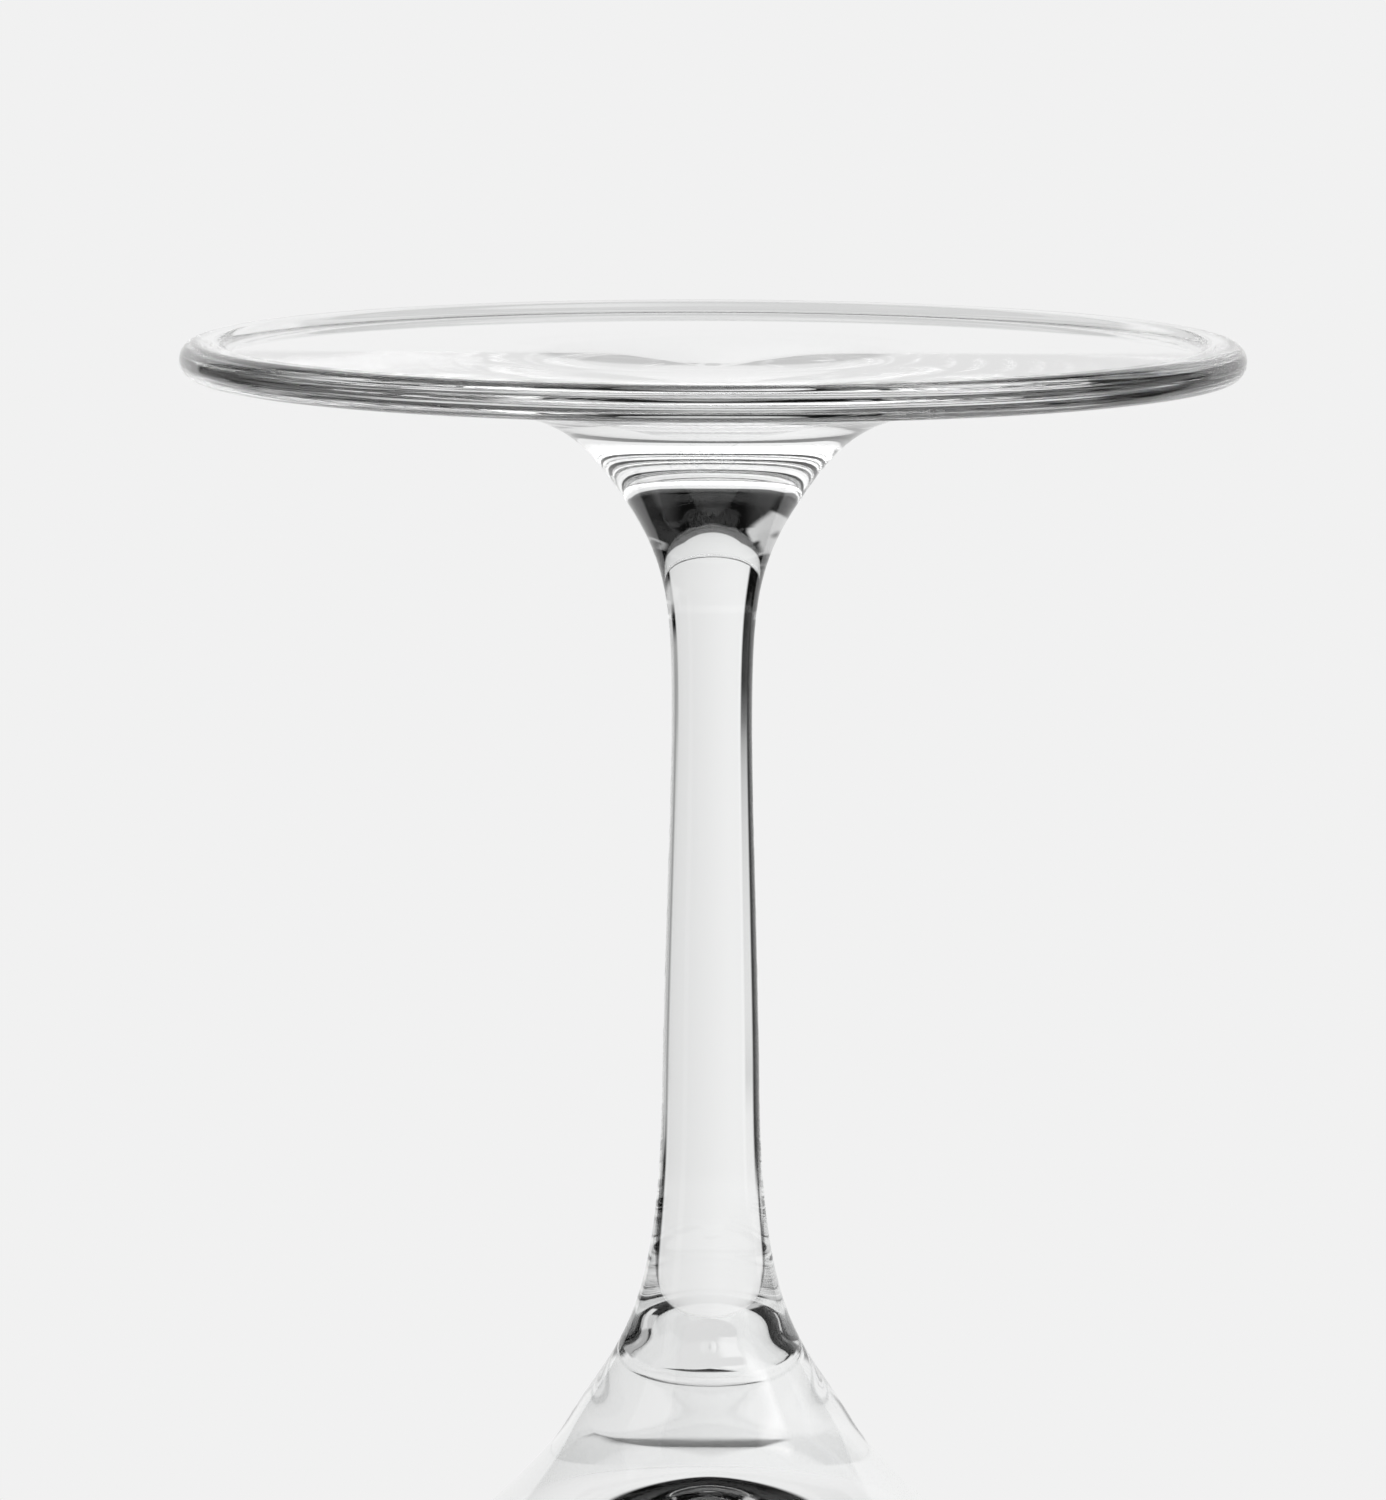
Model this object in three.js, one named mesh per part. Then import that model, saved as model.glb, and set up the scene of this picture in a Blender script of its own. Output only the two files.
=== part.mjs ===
// A gin glass on a stem: foot, stem and bowl of clear glass, each formed by itself and fused to
// the next along a flat seam. Sizes are in millimetres. The origin is the centre of the plane that
// the foot stands on, and +Z runs up the axis to the mouth. Outlines are drawn as (radius, height).
import * as THREE from 'three';

// Foot: a round-edged disc whose top sweeps up into a short boss.
const FOOT_DIAMETER = 80;
const FOOT_EDGE_THICKNESS = 2.75;
const FOOT_HEIGHT = 12;
const FOOT_TOP_SLOPE = 0.07; // rise of the top per millimetre inwards, at the edge
const FOOT_TOP_REACH = 26; // how far in from the edge the top stays nearly flat
const BOSS_REACH = 7; // how far below the lower seam the boss keeps its slope
const REST_RING_WIDTH = 1; // flat ring that carries the glass
const DISH_DEPTH = 0.8; // how far the underside inside that ring is set back
const DISH_EASE = 1.8; // width over which the underside drops to the ring

// Lower seam, where the stem is fused to the foot's boss.
const LOWER_SEAM_DIAMETER = 13.1;
const LOWER_SEAM_SLOPE = 0.67; // narrowing of the radius per millimetre of height

// Stem: narrowest a little above the foot, thickening slowly, then flaring under the bowl.
const STEM_LENGTH = 70;
const WAIST_DIAMETER = 6.06;
const WAIST_ABOVE_SEAM = 16.7;
const WAIST_REACH_DOWN = 8.7;
const WAIST_REACH_UP = 5.2;
const LOWER_FLARE_REACH = 4.8;
const SHOULDER_DIAMETER = 7.34;
const SHOULDER_BELOW_SEAM = 26;
const SHOULDER_SLOPE = 0.01;
const SHOULDER_REACH_DOWN = 7.4;
const SHOULDER_REACH_UP = 19.1;
const UPPER_FLARE_REACH = 6.2;

// Upper seam, where the stem is fused to the bowl.
const UPPER_SEAM_DIAMETER = 21.54;
const UPPER_SEAM_SLOPE = 0.578;

// Bowl: it opens from the seam to the neck, rounds out to the widest line and then draws in a
// little to the mouth.
const BOWL_HEIGHT = 123;
const SEAM_REACH_UP = 3.4;
const NECK_DIAMETER = 41.9; // where the solid base has opened out into the wall
const NECK_ABOVE_SEAM = 10.62;
const NECK_SLOPE = 0.967;
const NECK_REACH_DOWN = 3.36;
const NECK_REACH_UP = 12.4;
const BELLY_DIAMETER = 106;
const BELLY_ABOVE_SEAM = 68;
const BELLY_REACH_DOWN = 21.3;
const BELLY_REACH_UP = 25;
const MOUTH_DIAMETER = 86; // across the outside, where the lip begins to round over
const MOUTH_SLOPE = -0.28;
const MOUTH_REACH = 20;
const NECK_WALL = 6.4;
const BELLY_WALL = 1;
const MOUTH_WALL = 1.1;
const BASE_THICKNESS = 6; // solid glass on the axis, between the upper seam and the hollow
const FLOOR_REACH = 3.35; // how far from the axis the hollow's floor stays nearly level
const FLOOR_EDGE_REACH = 6.8;

// Facets of the turned solids.
const SEGMENTS = 60;
const FACET_LENGTH = 6;
const FEWEST_FACETS = 6;

const lowerSeam = FOOT_HEIGHT;
const upperSeam = FOOT_HEIGHT + STEM_LENGTH;
const glassHeight = upperSeam + BOWL_HEIGHT;

const at = (radius, height) => new THREE.Vector2(radius, height);
// Direction of an outline that climbs while its radius grows by slope per millimetre of height.
const climbing = (slope) => at(slope, 1);

// One smooth line: it leaves the first point along its direction and reaches the second along
// the second's direction. The reach says how far it keeps close to each direction.
function sweep(from, leaving, leavingReach, to, arriving, arrivingReach) {
  const handle = from.clone().addScaledVector(leaving, leavingReach);
  const otherHandle = to.clone().addScaledVector(arriving, -arrivingReach);
  return new THREE.CubicBezierCurve(from, handle, otherHandle, to);
}

// The same line moved inwards by a wall that changes from its first point to its second.
function insideOf(curve, firstWall, secondWall) {
  const inwards = (t, wall) => {
    const along = curve.getTangent(t);
    return at(-along.y, along.x).multiplyScalar(wall);
  };
  const first = inwards(0, firstWall);
  const second = inwards(1, secondWall);
  return new THREE.CubicBezierCurve(
    curve.v0.clone().add(first),
    curve.v1.clone().add(first),
    curve.v2.clone().add(second),
    curve.v3.clone().add(second),
  );
}

const backwards = (curve) => new THREE.CubicBezierCurve(curve.v3, curve.v2, curve.v1, curve.v0);

const facetsOf = (curve) =>
  Math.max(FEWEST_FACETS, Math.round(curve.getLength() / FACET_LENGTH));

// Joins curves and single points into one outline, without repeating the shared ends.
function outline(...pieces) {
  const points = [];
  for (const piece of pieces) {
    for (const point of piece.isVector2 ? [piece] : piece.getPoints(facetsOf(piece))) {
      const last = points.at(-1);
      if (!last || last.distanceTo(point) > 1e-6) points.push(point);
    }
  }
  return points;
}

// Turns an outline about the axis and stands the solid upright. The outline runs from the axis
// out along the underside, up the outside and back to the axis.
function turned(name, points) {
  const geometry = new THREE.LatheGeometry(points, SEGMENTS);
  geometry.rotateX(Math.PI / 2);
  const glass = new THREE.MeshStandardMaterial({
    color: 0xe6ebea,
    roughness: 0.03,
    metalness: 0,
    transparent: true,
    opacity: 0.35,
  });
  const mesh = new THREE.Mesh(geometry, glass);
  mesh.name = name;
  return mesh;
}

// Points that two neighbouring pieces share.
const lowerSeamEdge = at(LOWER_SEAM_DIAMETER / 2, lowerSeam);
const upperSeamEdge = at(UPPER_SEAM_DIAMETER / 2, upperSeam);
const lowerSeamClimb = climbing(-LOWER_SEAM_SLOPE);
const upperSeamClimb = climbing(UPPER_SEAM_SLOPE);

function makeFoot() {
  const edgeRadius = FOOT_EDGE_THICKNESS / 2;
  const edgeCentre = at(FOOT_DIAMETER / 2 - edgeRadius, edgeRadius);
  const ringOutside = edgeCentre.x;
  const ringInside = ringOutside - REST_RING_WIDTH;
  const level = at(1, 0);
  const dishEdge = at(ringInside - DISH_EASE, DISH_DEPTH);
  const dish = sweep(dishEdge, level, DISH_EASE / 2, at(ringInside, 0), level, DISH_EASE / 2);
  // The round edge ends where it lies along the slope of the top.
  const edge = new THREE.EllipseCurve(
    edgeCentre.x, edgeCentre.y, edgeRadius, edgeRadius,
    -Math.PI / 2, Math.PI / 2 - Math.atan(FOOT_TOP_SLOPE),
  );
  const top = sweep(
    edge.getPoint(1), at(-1, FOOT_TOP_SLOPE), FOOT_TOP_REACH,
    lowerSeamEdge, lowerSeamClimb, BOSS_REACH,
  );
  return turned('foot', outline(at(0, DISH_DEPTH), dish, edge, top, at(0, lowerSeam)));
}

function makeStem() {
  const waist = at(WAIST_DIAMETER / 2, lowerSeam + WAIST_ABOVE_SEAM);
  const shoulder = at(SHOULDER_DIAMETER / 2, upperSeam - SHOULDER_BELOW_SEAM);
  const upright = climbing(0);
  const shoulderClimb = climbing(SHOULDER_SLOPE);
  const lowerFlare = sweep(
    lowerSeamEdge, lowerSeamClimb, LOWER_FLARE_REACH, waist, upright, WAIST_REACH_DOWN);
  const shank = sweep(
    waist, upright, WAIST_REACH_UP, shoulder, shoulderClimb, SHOULDER_REACH_DOWN);
  const upperFlare = sweep(
    shoulder, shoulderClimb, SHOULDER_REACH_UP, upperSeamEdge, upperSeamClimb, UPPER_FLARE_REACH);
  return turned('stem',
    outline(at(0, lowerSeam), lowerFlare, shank, upperFlare, at(0, upperSeam)));
}

function makeBowl() {
  const neck = at(NECK_DIAMETER / 2, upperSeam + NECK_ABOVE_SEAM);
  const belly = at(BELLY_DIAMETER / 2, upperSeam + BELLY_ABOVE_SEAM);
  const upright = climbing(0);
  const neckClimb = climbing(NECK_SLOPE);
  const lipRadius = MOUTH_WALL / 2;
  const lip = at(MOUTH_DIAMETER / 2, glassHeight - lipRadius);

  const base = sweep(
    upperSeamEdge, upperSeamClimb, SEAM_REACH_UP, neck, neckClimb, NECK_REACH_DOWN);
  const underside = sweep(
    neck, neckClimb, NECK_REACH_UP, belly, upright, BELLY_REACH_DOWN);
  const side = sweep(belly, upright, BELLY_REACH_UP, lip, climbing(MOUTH_SLOPE), MOUTH_REACH);
  const insideSide = insideOf(side, BELLY_WALL, MOUTH_WALL);
  const insideNeck = insideOf(underside, NECK_WALL, BELLY_WALL);

  // The lip is a half round that is tangent to both sides of the wall.
  const lipMiddle = lip.clone().lerp(insideSide.v3, 0.5);
  const outwards = lip.clone().sub(lipMiddle).angle();
  const lipRound = new THREE.EllipseCurve(
    lipMiddle.x, lipMiddle.y, lipRadius, lipRadius, outwards, outwards + Math.PI);

  // The floor of the hollow is level on the axis and climbs into the inside of the neck.
  const floor = sweep(
    at(0, upperSeam + BASE_THICKNESS), at(1, 0), FLOOR_REACH,
    insideNeck.v0, neckClimb, FLOOR_EDGE_REACH,
  );

  return turned('bowl', outline(
    at(0, upperSeam), base, underside, side, lipRound,
    backwards(insideSide), backwards(insideNeck), backwards(floor),
  ));
}

const glass = new THREE.Group();
glass.name = 'gin_glass';
glass.add(makeFoot(), makeStem(), makeBowl());

export default glass;
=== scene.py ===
# %% [markdown]
# # A gin glass in clear glass
# The object is a stemmed glass: a broad foot, a slim drawn stem and a wide bowl. All three are clear
# glass, so almost everything that the eye sees in it is light that the glass bends. That puts the work
# into three places: outlines that are smooth enough to bend light cleanly, a glass finish with the faint
# waves of the real one, and a studio round it that gives the glass something light and something dark to
# show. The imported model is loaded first. It is the fixed frame, and its sizes hold for everything here.

# %% Load the frame
import math
from collections import namedtuple
import bpy
from mathutils import Matrix, Vector


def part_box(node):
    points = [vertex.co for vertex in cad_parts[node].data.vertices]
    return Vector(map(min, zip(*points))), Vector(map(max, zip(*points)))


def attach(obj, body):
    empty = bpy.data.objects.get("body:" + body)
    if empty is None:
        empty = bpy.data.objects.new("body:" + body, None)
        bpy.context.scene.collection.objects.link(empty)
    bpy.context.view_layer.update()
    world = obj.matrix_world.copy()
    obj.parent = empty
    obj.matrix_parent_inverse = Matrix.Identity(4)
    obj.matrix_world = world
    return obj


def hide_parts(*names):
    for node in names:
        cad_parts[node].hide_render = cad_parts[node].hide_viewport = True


MM = 0.001

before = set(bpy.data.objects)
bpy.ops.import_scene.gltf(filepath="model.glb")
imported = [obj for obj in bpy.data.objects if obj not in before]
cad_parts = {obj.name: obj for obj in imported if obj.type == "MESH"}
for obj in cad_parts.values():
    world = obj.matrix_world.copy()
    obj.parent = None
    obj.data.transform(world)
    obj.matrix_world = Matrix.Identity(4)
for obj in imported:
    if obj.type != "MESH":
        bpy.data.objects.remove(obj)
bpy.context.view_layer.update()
scene = bpy.context.scene
scene.view_settings.view_transform = "Standard"


def in_mm(place):
    """A place in rounded millimetres, for printing."""
    return [round(v / MM, 2) for v in place]


for node in sorted(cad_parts):
    low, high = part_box(node)
    print(node, "from", in_mm(low), "to", in_mm(high), "mm")

# %% [markdown]
# ## The camera
# The picture looks at the glass upside down, from a little beyond the foot, through a long lens. The model
# stands upright, so the camera goes below the level of the foot and is turned over: what is up in the
# picture points down to the floor. A turned camera is easiest to write as three directions, right, up and
# back, which are the columns of its rotation.

# %% Place the camera
eye = Vector((1.42, -880.4, -72.9)) * MM
target = Vector((1.42, 0, 30.9)) * MM
picture_roll = math.radians(0.17)

forward = (target - eye).normalized()
picture_right = Vector((0, 0, 1)).cross(forward).normalized()
picture_up = picture_right.cross(forward)
turn = Matrix((picture_right, picture_up, -forward)).transposed() @ Matrix.Rotation(picture_roll, 3, "Z")
bpy.ops.object.camera_add()
camera = bpy.context.object
camera.name = "picture_camera"
camera.matrix_world = Matrix.Translation(eye) @ turn.to_4x4()
camera.data.sensor_width = 36
camera.data.lens = 282.8
camera.data.clip_start, camera.data.clip_end = 0.05, 30
scene.camera = camera
print("camera at", in_mm(eye), "mm, right of picture", [round(v, 3) for v in picture_right])

# %% [markdown]
# ## Outlines
# A glass is turned about its axis, so each piece needs only half of its section. A line of Bezier points
# holds such an outline with few numbers: each point has a direction and says how far the line keeps to that
# direction before and after it. The same numbers shaped the solids, so the fine pieces lie on the coarse
# ones. Round edges use the usual handle length that makes a Bezier line follow an arc.

# %% Points of an outline
Knot = namedtuple("Knot", "spot direction before after")


def knot(radius, height, direction, before, after):
    """A point of an outline in millimetres, the line's direction there, and its reach each way."""
    return Knot(Vector((radius, height)), Vector(direction), before, after)


def arc_knots(centre, radius, start, end):
    """Three points of an arc between two angles, given in radians."""
    reach = 4 / 3 * math.tan((end - start) / 8) * radius
    knots = []
    for angle in (start, (start + end) / 2, end):
        spot = centre + Vector((math.cos(angle), math.sin(angle))) * radius
        knots.append(knot(*spot, (-math.sin(angle), math.cos(angle)), reach, reach))
    return knots


lower_seam = knot(6.55, 12, (-0.67, 1), 7, 4.8)
upper_seam = knot(10.77, 82, (0.578, 1), 6.2, 3.4)
print("seams at", lower_seam.spot.y, "and", upper_seam.spot.y, "mm")

# %% [markdown]
# ## Turning
# The outline is drawn as a Bezier curve, made a mesh line, led to the axis where it ends at a fused seam,
# and spun once round. Spin leaves a double row where it closes and a heap of points on the axis, so doubles
# are merged before the normals are made to point outwards. The merging distance is tiny, because the rings
# next to the axis are small.

# %% Draw, spin and close a piece
ROUND_STEPS = 240
LINE_STEPS = 28
MERGE_WITHIN = 0.001 * MM
SMOOTH_BELOW = math.radians(35)


def turned(name, knots, ends_at_seam, steps=LINE_STEPS):
    """A closed solid of revolution. ends_at_seam says which ends of the line run level to the axis."""
    bpy.ops.object.select_all(action="DESELECT")
    bpy.ops.curve.primitive_bezier_curve_add()
    piece = bpy.context.object
    piece.name = piece.data.name = name
    piece.data.dimensions, piece.data.resolution_u = "3D", steps
    spline = piece.data.splines[0]
    spline.bezier_points.add(len(knots) - len(spline.bezier_points))
    for point, (spot, direction, before, after) in zip(spline.bezier_points, knots):
        point.handle_left_type = point.handle_right_type = "FREE"
        for attribute, at in (("co", spot), ("handle_left", spot - direction * before),
                              ("handle_right", spot + direction * after)):
            setattr(point, attribute, Vector((at.x, 0, at.y)) * MM)
    bpy.ops.object.convert(target="MESH")
    last = len(piece.data.vertices) - 1
    for end in ends_at_seam:
        lead_to_axis(piece, 0 if end == "first" else last)
    bpy.ops.object.mode_set(mode="EDIT")
    bpy.ops.mesh.select_all(action="SELECT")
    bpy.ops.mesh.spin(steps=ROUND_STEPS, angle=2 * math.pi, center=(0, 0, 0), axis=(0, 0, 1))
    bpy.ops.mesh.select_all(action="SELECT")
    bpy.ops.mesh.remove_doubles(threshold=MERGE_WITHIN)
    bpy.ops.mesh.normals_make_consistent(inside=False)
    bpy.ops.object.mode_set(mode="OBJECT")
    bpy.ops.object.shade_smooth_by_angle(angle=SMOOTH_BELOW)
    return piece


def lead_to_axis(piece, index):
    """Extrudes one end of the line level to the axis, where the piece is fused to the next."""
    bpy.ops.object.mode_set(mode="EDIT")
    bpy.ops.mesh.select_mode(type="VERT")
    bpy.ops.mesh.select_all(action="DESELECT")
    bpy.ops.object.mode_set(mode="OBJECT")
    piece.data.vertices[index].select = True
    inwards = -piece.data.vertices[index].co.x
    bpy.ops.object.mode_set(mode="EDIT")
    bpy.ops.mesh.extrude_region_move(TRANSFORM_OT_translate={"value": (inwards, 0, 0)})
    bpy.ops.object.mode_set(mode="OBJECT")


def report(piece, node):
    """Prints a piece's faces, and how far its box is from the solid's that it stands for."""
    low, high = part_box(node)
    places = [v.co for v in piece.data.vertices]
    gap = 0
    for i in range(3):
        along = [place[i] for place in places]
        gap = max(gap, abs(min(along) - low[i]), abs(max(along) - high[i]))
    print(piece.name, len(piece.data.polygons), "faces, box within", round(gap / MM, 3), "mm of the solid's")


# %% [markdown]
# ## Foot
# The foot is a disc with a fire-polished bead for an edge. It stands on a narrow flat ring under the bead,
# and inside that ring the underside is set back by less than a millimetre, so that the glass doesn't rock.
# The top climbs gently and then sweeps up into the boss, where the stem is fused on. The foot is seen at a
# very flat angle, where every facet would show, so its line gets twice the steps.

# %% Turn the foot
foot_radius, edge_radius = 40, 1.375
top_slope, top_reach = 0.07, 26
dish_radius, dish_depth, dish_reach = 35.825, 0.8, 12
ring_radius, step_reach, ring_reach = 37.625, 0.9, 1 / 3
level = (1, 0)

edge_centre = Vector((foot_radius - edge_radius, edge_radius))
edge = arc_knots(edge_centre, edge_radius, -math.pi / 2, math.pi / 2 - math.atan(top_slope))
dish_middle = knot(0, dish_depth, level, 0, dish_reach)
dish_edge = knot(dish_radius, dish_depth, level, dish_reach, step_reach)
ring_inside = knot(ring_radius, 0, level, step_reach, ring_reach)
ring_outside = knot(*edge[0].spot, level, ring_reach, edge[0].after)
edge_end = knot(*edge[2].spot, edge[2].direction, edge[2].before, top_reach * math.hypot(1, top_slope))
foot = turned("foot_turned",
              [dish_middle, dish_edge, ring_inside, ring_outside, edge[1], edge_end, lower_seam],
              ["last"], 2 * LINE_STEPS)
report(foot, "foot")

# %% [markdown]
# ## Stem
# The stem is drawn from hot glass, so it has no straight stretch: it is thinnest a little above the foot,
# thickens slowly towards the bowl, and flares at both ends into what it is fused to.

# %% Turn the stem
waist = knot(3.03, 28.7, (0, 1), 8.7, 5.2)
shoulder = knot(3.67, 56, (0.01, 1), 7.4, 19.1)
stem = turned("stem_turned", [lower_seam, waist, shoulder, upper_seam], ["first", "last"])
report(stem, "stem")

# %% [markdown]
# ## Bowl
# The bowl is blown. Its base is solid, the wall thins upwards, the side draws in to the mouth, and the lip
# is melted round. The line runs up the outside, over the lip and down the inside to the middle of the
# hollow's floor. The inside points are the outside ones moved in by the wall.

# %% Turn the bowl
def moved_in(outside, wall, before, after):
    """The inside point opposite an outside one, for a line that runs the other way."""
    along = outside.direction.normalized()
    spot = outside.spot + Vector((-along.y, along.x)) * wall
    return knot(*spot, -outside.direction, before, after)


neck_wall, belly_wall, lip_wall = 6.4, 1.0, 1.1
lip_reach = 20

neck = knot(20.95, 92.62, (0.967, 1), 3.36, 12.4)
belly = knot(53, 150, (0, 1), 21.3, 25)
lip_outside = knot(43, 204.45, (-0.28, 1), lip_reach, 0)
lip_inside = moved_in(lip_outside, lip_wall, 0, lip_reach)
lip_middle = (lip_outside.spot + lip_inside.spot) / 2
outwards = lip_outside.spot - lip_middle
lean = math.atan2(outwards.y, outwards.x)
lip = arc_knots(lip_middle, lip_wall / 2, lean, lean + math.pi)
unit = lip_outside.direction.length
lip_start = lip_outside._replace(after=lip[0].after / unit)
lip_end = lip_inside._replace(before=lip[2].before / unit)
belly_inside = moved_in(belly, belly_wall, 25, 21.3)
neck_inside = moved_in(neck, neck_wall, 12.4, 6.8)
floor_middle = knot(0, 88, (-1, 0), 3.35, 0)
bowl = turned("bowl_turned", [upper_seam, neck, belly, lip_start, lip[1], lip_end,
                              belly_inside, neck_inside, floor_middle], ["first"])
report(bowl, "bowl")

# %% [markdown]
# ## Shader maths
# Node trees get hard to read when each sum is three lines of links. One small class wraps a socket, so that
# sums and products are written as such, and one method adds any other node with its settings and sockets.

# %% A socket that can be reckoned with
class Wire:
    """A socket of a node tree; arithmetic on it adds the Math nodes that work it out."""

    def __init__(self, tree, socket=None):
        self.tree, self.socket = tree, socket

    def add(self, kind, settings=None, sockets=None, out=0):
        """Adds a node, sets its settings and then its sockets, and returns one of its outputs."""
        made = self.tree.nodes.new(kind)
        for name, value in (settings or {}).items():
            setattr(made, name, value)
        for name, value in (sockets or {}).items():
            if isinstance(value, Wire):
                self.tree.links.new(value.socket, made.inputs[name])
            else:
                made.inputs[name].default_value = value
        return Wire(self.tree, made.outputs[out] if made.outputs else None)

    def maths(self, operation, *terms):
        return self.add("ShaderNodeMath", {"operation": operation}, dict(enumerate(terms)))

    def __add__(self, other):
        return self.maths("ADD", self, other)

    def __sub__(self, other):
        return self.maths("SUBTRACT", self, other)

    def __mul__(self, other):
        return self.maths("MULTIPLY", self, other)

    def __rsub__(self, other):
        return self.maths("SUBTRACT", other, self)

    __radd__, __rmul__ = __add__, __mul__

    def rise(self, start, end):
        """0 below start, 1 above end, and a smooth step between."""
        return self.add("ShaderNodeMapRange", {"interpolation_type": "SMOOTHSTEP"},
                        {"Value": self, "From Min": start, "From Max": end})


def between(value, low, high, soft):
    """1 inside a range and 0 outside it, with soft ends."""
    return value.rise(low - soft, low + soft) * (1 - value.rise(high - soft, high + soft))


def stretched(tree, place, factors):
    """A place with each of its axes multiplied by a factor of its own."""
    return tree.add("ShaderNodeVectorMath", {"operation": "MULTIPLY"}, {0: place, 1: factors})


def fresh_tree(owner):
    """An empty node tree of a material or world."""
    owner.use_nodes = True
    owner.node_tree.nodes.clear()
    return Wire(owner.node_tree)


# %% [markdown]
# ## Clear glass
# Formed glass is never quite flat. The stem is drawn, so its faint waves run lengthways; the foot and the
# bowl have slow, broad ones. They are far too shallow to see as shape, but they break the light along the
# edges. Noise on object coordinates makes them, stretched differently for each piece, and a Bump node turns
# it into a tilt. A thin film from handling changes the roughness a little. The foot has two more things.
# Cords, long streaks drawn round its bead when it was spun, are a noise that changes fast in height and
# slowly along the bead, and it bends the light there. The same noise paints shade into the bead's colour,
# in dark streaks that are strongest on the half towards -Y. And its underside has a film that makes it look
# pale at a flat angle, which is a thin coat over the glass.

# %% What only the foot's glass has
CLEAR = (0.985, 0.99, 0.988)
BEAD_FROM, BEAD_TO = 38.3 * MM, 38.9 * MM
# The cords' noise bends the light on the bead and also paints shade into its colour; the last of these three
# values is how dark that painted shade gets.
CORD_STRETCH, CORD_HEIGHT, CORD_PAINTED_SHADE = (16, 16, 1900), 12, 0.95
# Where the streaks of painted shade begin and where they are full, on the noise's scale.
SHADE_STREAK_START, SHADE_STREAK_FULL = 0.4, 0.53
# The painted shade is weaker by this much on the +Y half of the bead.
FAR_FROM, FAR_TO, WEAKER_THERE = -12 * MM, 22 * MM, 0.7
FILM_FROM, FILM_TO, FILM_SOFT = 13 * MM, 36.5 * MM, 1 * MM
UNDERSIDE_TO, TOP_FROM = 0.82 * MM, 0.9 * MM


def axis_distance(tree, place):
    """How far a place is from the axis of the glass."""
    level_place = stretched(tree, place, (1, 1, 0))
    return tree.add("ShaderNodeVectorMath", {"operation": "LENGTH"}, {0: level_place}, "Value")


def foot_cords_and_painted_shade(tree, place):
    """The cords' height for the bump, and the colour of the glass with painted shade in dark streaks on its
    bead.
    """
    on_bead = axis_distance(tree, place).rise(BEAD_FROM, BEAD_TO)
    cords = tree.add("ShaderNodeTexNoise", {}, {
        "Vector": stretched(tree, place, CORD_STRETCH), "Scale": 1.0, "Detail": 2.0, "Roughness": 0.6})
    far = tree.add("ShaderNodeSeparateXYZ", {}, {"Vector": place}, "Y").rise(FAR_FROM, FAR_TO)
    # Painted shade on the bead, full on the -Y half and weaker on the +Y half.
    painted_shade_share = on_bead * (1 - WEAKER_THERE * far)
    # The bead's colour darkened in streaks: painted shade.
    grey = 1 - CORD_PAINTED_SHADE * painted_shade_share * cords.rise(SHADE_STREAK_START, SHADE_STREAK_FULL)
    tint = tree.add("ShaderNodeCombineColor", {}, {i: part * grey for i, part in enumerate(CLEAR)})
    return CORD_HEIGHT * cords * on_bead, tint


def underside_film(tree, place):
    """1 on the part of the foot's underside that has the film, and 0 elsewhere."""
    up = tree.add("ShaderNodeSeparateXYZ", {}, {"Vector": place}, "Z")
    in_ring = between(axis_distance(tree, place), FILM_FROM, FILM_TO, FILM_SOFT)
    return in_ring * (1 - up.rise(UNDERSIDE_TO, TOP_FROM))


# %% Glass finish
POLISHED, HANDLED = 0.004, 0.014


def clear_glass(name, stretch, wave_height, film_scale, of_foot=False):
    """Clear glass with waves: stretch is how fast they change along X, Y and Z, per metre.
    wave_height is in metres, and film_scale is how fast the film from handling changes."""
    material = bpy.data.materials.new(name)
    tree = fresh_tree(material)
    place = tree.add("ShaderNodeTexCoord", out="Object")
    waves = tree.add("ShaderNodeTexNoise", {}, {
        "Vector": stretched(tree, place, stretch), "Scale": 1.0, "Detail": 1.5, "Roughness": 0.45})
    tint, coat = (*CLEAR, 1), 0.0
    if of_foot:
        # The foot's colour carries painted shade in streaks on its bead; the cords also bend the light
        # there.
        cords, tint = foot_cords_and_painted_shade(tree, place)
        waves = waves + cords
        coat = underside_film(tree, place)
    film = tree.add("ShaderNodeTexNoise", {}, {"Vector": place, "Scale": film_scale, "Detail": 3.0})
    tilt = tree.add("ShaderNodeBump", {}, {"Height": waves, "Strength": 1.0, "Distance": wave_height})
    shader = tree.add("ShaderNodeBsdfPrincipled", {}, {
        "Base Color": tint, "Roughness": POLISHED + HANDLED * film, "IOR": 1.5, "Transmission Weight": 1.0,
        "Coat Weight": coat, "Coat Roughness": 0.02, "Coat IOR": 1.9, "Normal": tilt})
    tree.add("ShaderNodeOutputMaterial", {}, {"Surface": shader})
    return material


foot_glass = clear_glass("foot_glass", (60, 60, 60), 0.0015 * MM, 60, of_foot=True)
stem_glass = clear_glass("stem_glass", (900, 900, 14), 0.0008 * MM, 90)
bowl_glass = clear_glass("bowl_glass", (70, 70, 45), 0.004 * MM, 40)
print("glass finishes:", foot_glass.name, stem_glass.name, bowl_glass.name)

# %% [markdown]
# Where two pieces are fused there is no surface at all: light crosses the seam as if it weren't there. The
# flat ends of the pieces keep each solid closed, so they get a finish of their own that is wholly clear,
# with an alpha of 0, and light goes straight through them.

# %% Finish of the fused seams
SEAM_WITHIN = 0.001 * MM

fused_seam = bpy.data.materials.new("fused_seam")
tree = fresh_tree(fused_seam)
seam_shader = tree.add("ShaderNodeBsdfPrincipled", {}, {"Base Color": (*CLEAR, 1), "Alpha": 0.0})
tree.add("ShaderNodeOutputMaterial", {}, {"Surface": seam_shader})

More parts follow.
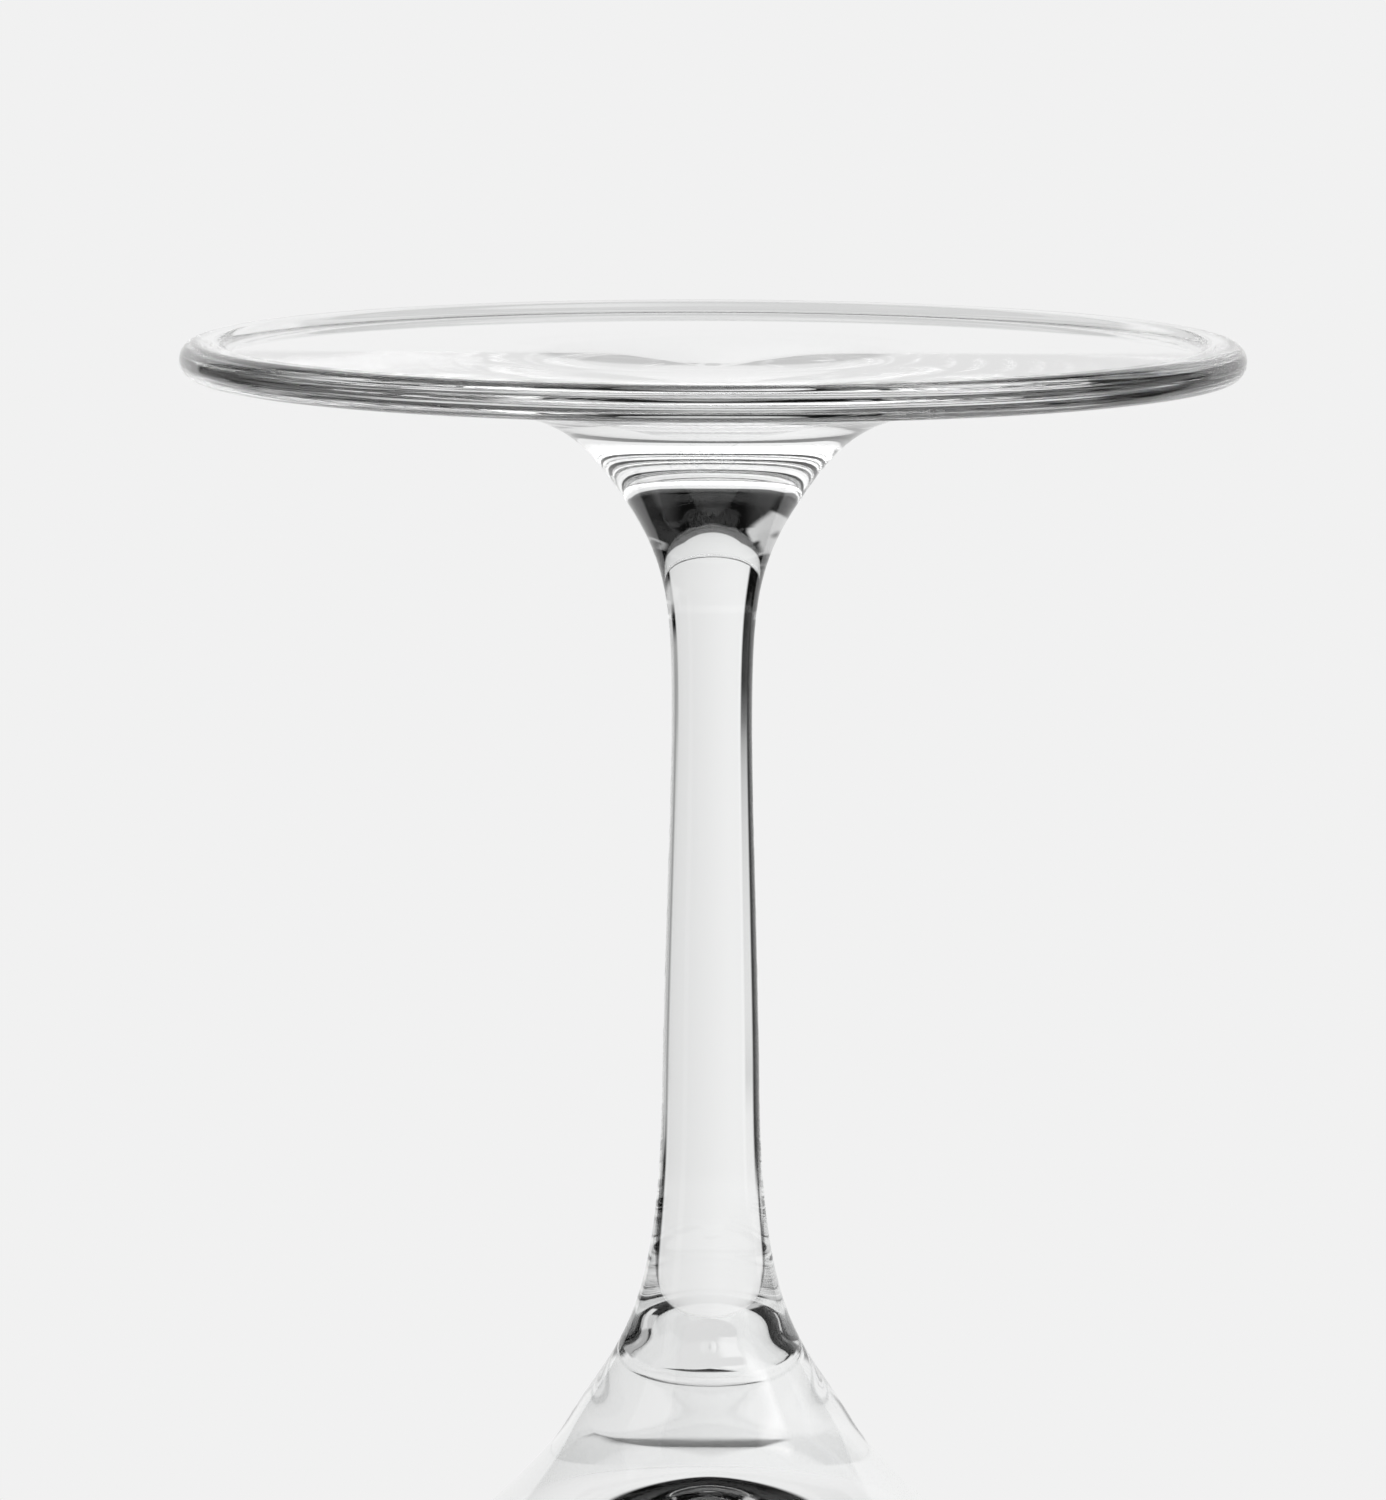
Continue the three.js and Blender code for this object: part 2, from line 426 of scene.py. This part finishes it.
for piece, node, glass, seams in ((foot, "foot", foot_glass, [lower_seam]),
                                  (stem, "stem", stem_glass, [lower_seam, upper_seam]),
                                  (bowl, "bowl", bowl_glass, [upper_seam])):
    piece.data.materials.clear()
    piece.data.materials.append(glass)
    piece.data.materials.append(fused_seam)
    count = 0
    for face in piece.data.polygons:
        at_seam = any(abs(face.center.z - seam.spot.y * MM) < SEAM_WITHIN for seam in seams)
        fused = at_seam and abs(face.normal.z) > 0.999
        face.material_index = int(fused)
        count += fused
    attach(piece, "root")
    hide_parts(node)
    node + "_glass"
    print(piece.name, "has", count, "faces on its seams")

# %% [markdown]
# ## Floor
# The floor is a plain pale sheet that the glass stands on. The picture's camera is below it, so the sheet
# is seen only from above. Light that was turned back inside the glass leaves it downwards, and in the
# picture that side is dark, so for such light the floor is clear too.

# %% Lay the floor
FLOOR_RADIUS = 6
FLOOR_GAP = 0.03 * MM
FLOOR_GREY = (0.88, 0.88, 0.88, 1)

bpy.ops.object.select_all(action="DESELECT")
bpy.ops.mesh.primitive_circle_add(vertices=128, radius=FLOOR_RADIUS, fill_type="NGON")
floor = bpy.context.object
floor.name = "pale_floor"
bpy.ops.object.mode_set(mode="EDIT")
bpy.ops.mesh.select_all(action="SELECT")
bpy.ops.transform.translate(value=(0, 0, -FLOOR_GAP))
bpy.ops.object.mode_set(mode="OBJECT")
print("floor", [round(v, 2) for v in floor.dimensions])

# %% Finish of the floor
floor_paint = bpy.data.materials.new("floor_paint")
tree = fresh_tree(floor_paint)
from_below = tree.add("ShaderNodeNewGeometry", out="Backfacing")
turned_back = tree.add("ShaderNodeLightPath", out="Glossy Depth")
came_through = tree.add("ShaderNodeLightPath", out="Transparent Depth")
clear = tree.maths("MINIMUM", from_below + turned_back + came_through, 1)
paint = tree.add("ShaderNodeBsdfDiffuse", {}, {"Color": FLOOR_GREY})
nothing = tree.add("ShaderNodeBsdfTransparent")
mixed = tree.add("ShaderNodeMixShader", {}, {0: clear, 1: paint, 2: nothing})
tree.add("ShaderNodeOutputMaterial", {}, {"Surface": mixed})
floor.data.materials.append(floor_paint)

# %% [markdown]
# ## Studio
# Even, plain light falls on everything from all round. What the glass shows is another matter: clear glass
# is only visible by the bright and dark things round it. The world therefore has a second face that only
# light leaving the glass sees: a white backdrop ahead, dark walls at both sides with light gaps between, a
# dark arch high up, and darkness under the floor. They are boxes of bearing and height, in degrees, with
# soft borders; later ones cover earlier ones. Bearing 0 is straight ahead and grows towards +X.

# %% Bearing, height and kind of light
world = bpy.data.worlds.new("studio")
scene.world = world
tree = fresh_tree(world)
way = tree.add("ShaderNodeTexCoord", out="Generated")
way_x, way_y, way_z = (tree.add("ShaderNodeSeparateXYZ", {}, {"Vector": way}, axis) for axis in "XYZ")
bearing = tree.maths("ARCTAN2", way_x, way_y) * math.degrees(1)
height = tree.maths("ARCSINE", way_z) * math.degrees(1)
aside = tree.maths("ABSOLUTE", bearing)
from_camera, from_mirror, from_glass, faces_crossed = (
    tree.add("ShaderNodeLightPath", out=name)
    for name in ("Is Camera Ray", "Is Glossy Ray", "Is Transmission Ray", "Transmission Depth"))


def plain(grey):
    """The same grey everywhere."""
    return tree.maths("ADD", grey, 0.0)


def over(below, grey, mask):
    """Paints a grey over what is there already, where the mask is 1."""
    return below + mask * (grey - below)


def panel(below, grey, bearings, heights, soft):
    """Paints a box of bearings and heights over what is there already."""
    return over(below, grey, between(bearing, *bearings, soft) * between(height, *heights, soft))


# %% Walls, gaps and backdrop
DARK = 0.002
WHITE = 0.88
backdrop = 0.82 + 0.12 * bearing.rise(-30, 25)
sag = tree.maths("MINIMUM", 0.02 * bearing * bearing, 10)
above_floor = height - sag

light = plain(0.5)
light = over(light, 0.77, height.rise(59, 70))
light = over(light, DARK, aside.rise(117, 127) * (1 - height.rise(26, 34)))
for grey, bearings, heights, soft in (
        (DARK, (-119, -43), (-31, 45), 3),      # wall at the -X side
        (0.004, (32, 111), (-45, 49), 3),       # wall at the +X side
        (0.42, (-62, -45), (0, 13), 2),         # gaps in the wall at the -X side
        (0.75, (-100, -60), (0, 14), 2),
        (0.6, (-85, -42), (-16, -6), 3),
        (0.6, (-85, -59), (-8, 2), 2),
        (0.45, (-85, -63), (11, 18), 2),
        (0.6, (61, 90), (17.5, 23), 1.5),       # slit in the wall at the +X side
        (WHITE, (-52, 50), (8, 66), 3),         # white sheet behind the backdrop
        (backdrop, (-46, 34), (-60, 85), 2),
        (0.93, (44, 76), (52, 83), 3),          # light above the wall at the +X side
        (0.91, (4, 55), (16, 34), 3),           # light beside the backdrop
        (DARK, (-132, -116), (-15, 44), 3)):    # far end of the wall at the -X side
    light = panel(light, grey, bearings, heights, soft)
light = over(light, DARK, 1 - above_floor.rise(-45, -41))
for grey, bearings, heights in (
        (0.6, (92, 129), (-56, -38)),           # low lights at the +X side
        (0.55, (109, 121), (-46, 6))):
    light = panel(light, grey, bearings, heights, 3)
print("studio has", len(world.node_tree.nodes), "nodes so far")

# %% [markdown]
# Light that has also crossed the hollow of the bowl sees little more than the backdrop, so the thin bowl
# stays clear. What only the outside of the glass mirrors is a dark ceiling behind the picture's camera,
# which keeps the dark areas of the glass dark, and a lamp at one side.

# %% Past the hollow, mirrored, and put together
past_hollow = panel(backdrop, 0.5, (-47, 29), (-29, -24), 2)
past_hollow = over(past_hollow, DARK, 1 - above_floor.rise(-55, -52))
light = over(light, past_hollow, faces_crossed.rise(2, 3))
arch = height + 0.0055 * bearing * bearing
light = over(light, 0.003, between(bearing, -47, 32, 3) * between(arch, 71.5, 84, 2))

mirrored = from_mirror * (1 - from_glass)
light = over(light, 0.05, mirrored * aside.rise(80, 110) * height.rise(20, 40))
light = over(light, 3, mirrored * between(bearing, -128, -98, 5) * between(height, -47, -41, 4))

seen_by_glass = tree.maths("MAXIMUM", from_mirror, from_glass)
strength = over(over(plain(1.0), light, seen_by_glass), WHITE, from_camera)
background = tree.add("ShaderNodeBackground", {}, {"Color": (1, 1, 1, 1), "Strength": strength})
tree.add("ShaderNodeOutputWorld", {}, {"Surface": background})
print("studio has", len(world.node_tree.nodes), "nodes")

# %% [markdown]
# Light is turned back many times inside thick glass, and each fused seam that it crosses counts as a clear
# surface, so a path is allowed more bounces than usual before it is given up as dark.

# %% Let light bounce far enough
scene.cycles.max_bounces = scene.cycles.glossy_bounces = scene.cycles.transmission_bounces = 128
scene.cycles.transparent_max_bounces = 256
